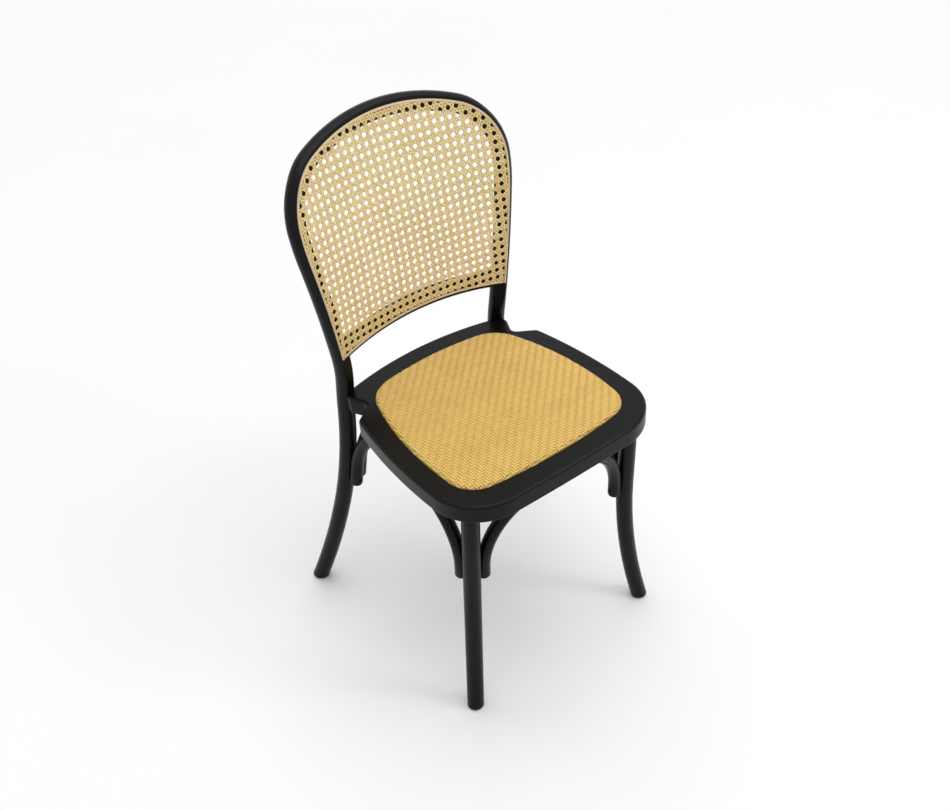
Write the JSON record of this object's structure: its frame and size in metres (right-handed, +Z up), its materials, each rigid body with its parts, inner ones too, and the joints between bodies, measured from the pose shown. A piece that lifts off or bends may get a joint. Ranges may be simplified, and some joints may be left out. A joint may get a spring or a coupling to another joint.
{
  "type": "cane back chair",
  "caption": "Bentwood dining chair with a round-topped hoop back, a bowed open-cane back panel, knee brackets under a flat seat frame and a woven drop-in seat pad.",
  "frame": {"origin": "on the floor, in the middle of the chair's overall length and width", "axes": "+Z up, the front of the seat faces -Y, +X to the right of a person facing the chair; left and right in node names are as that person sees them"},
  "size_m": [0.4706, 0.4623, 0.8389],
  "materials": {
    "black_lacquer": "satin black lacquer",
    "cane": "natural split cane, satin",
    "spline": "natural reed, satin",
    "weave": "woven rattan strip, satin",
    "foam": "upholstery foam",
    "plywood": "raw plywood",
    "dowel": "raw beech",
    "screw": "zinc plated"
  },
  "bodies": {
    "root": {"back_hoop": "black_lacquer", "back_rail": "black_lacquer", "seat_front_rail": "black_lacquer", "seat_back_rail": "black_lacquer", "seat_side_left": "black_lacquer", "seat_side_right": "black_lacquer", "front_leg_left": "black_lacquer", "front_leg_right": "black_lacquer", "bracket_front_side_left": "black_lacquer", "bracket_front_side_right": "black_lacquer", "bracket_front_cross_left": "black_lacquer", "bracket_front_cross_right": "black_lacquer", "bracket_rear_side_left": "black_lacquer", "bracket_rear_side_right": "black_lacquer", "bracket_rear_cross_left": "black_lacquer", "bracket_rear_cross_right": "black_lacquer", "back_rail_dowels": "dowel", "rail_dowels": "dowel", "lug_dowels": "dowel", "back_cane": "cane", "spline_arch": "spline", "spline_bottom": "spline", "seat_board": "plywood", "seat_foam": "foam", "seat_weave": "weave", "pad_screws": "screw", "bracket_leg_screws": "screw", "bracket_rail_screws": "screw"}
  },
  "joints": []
}
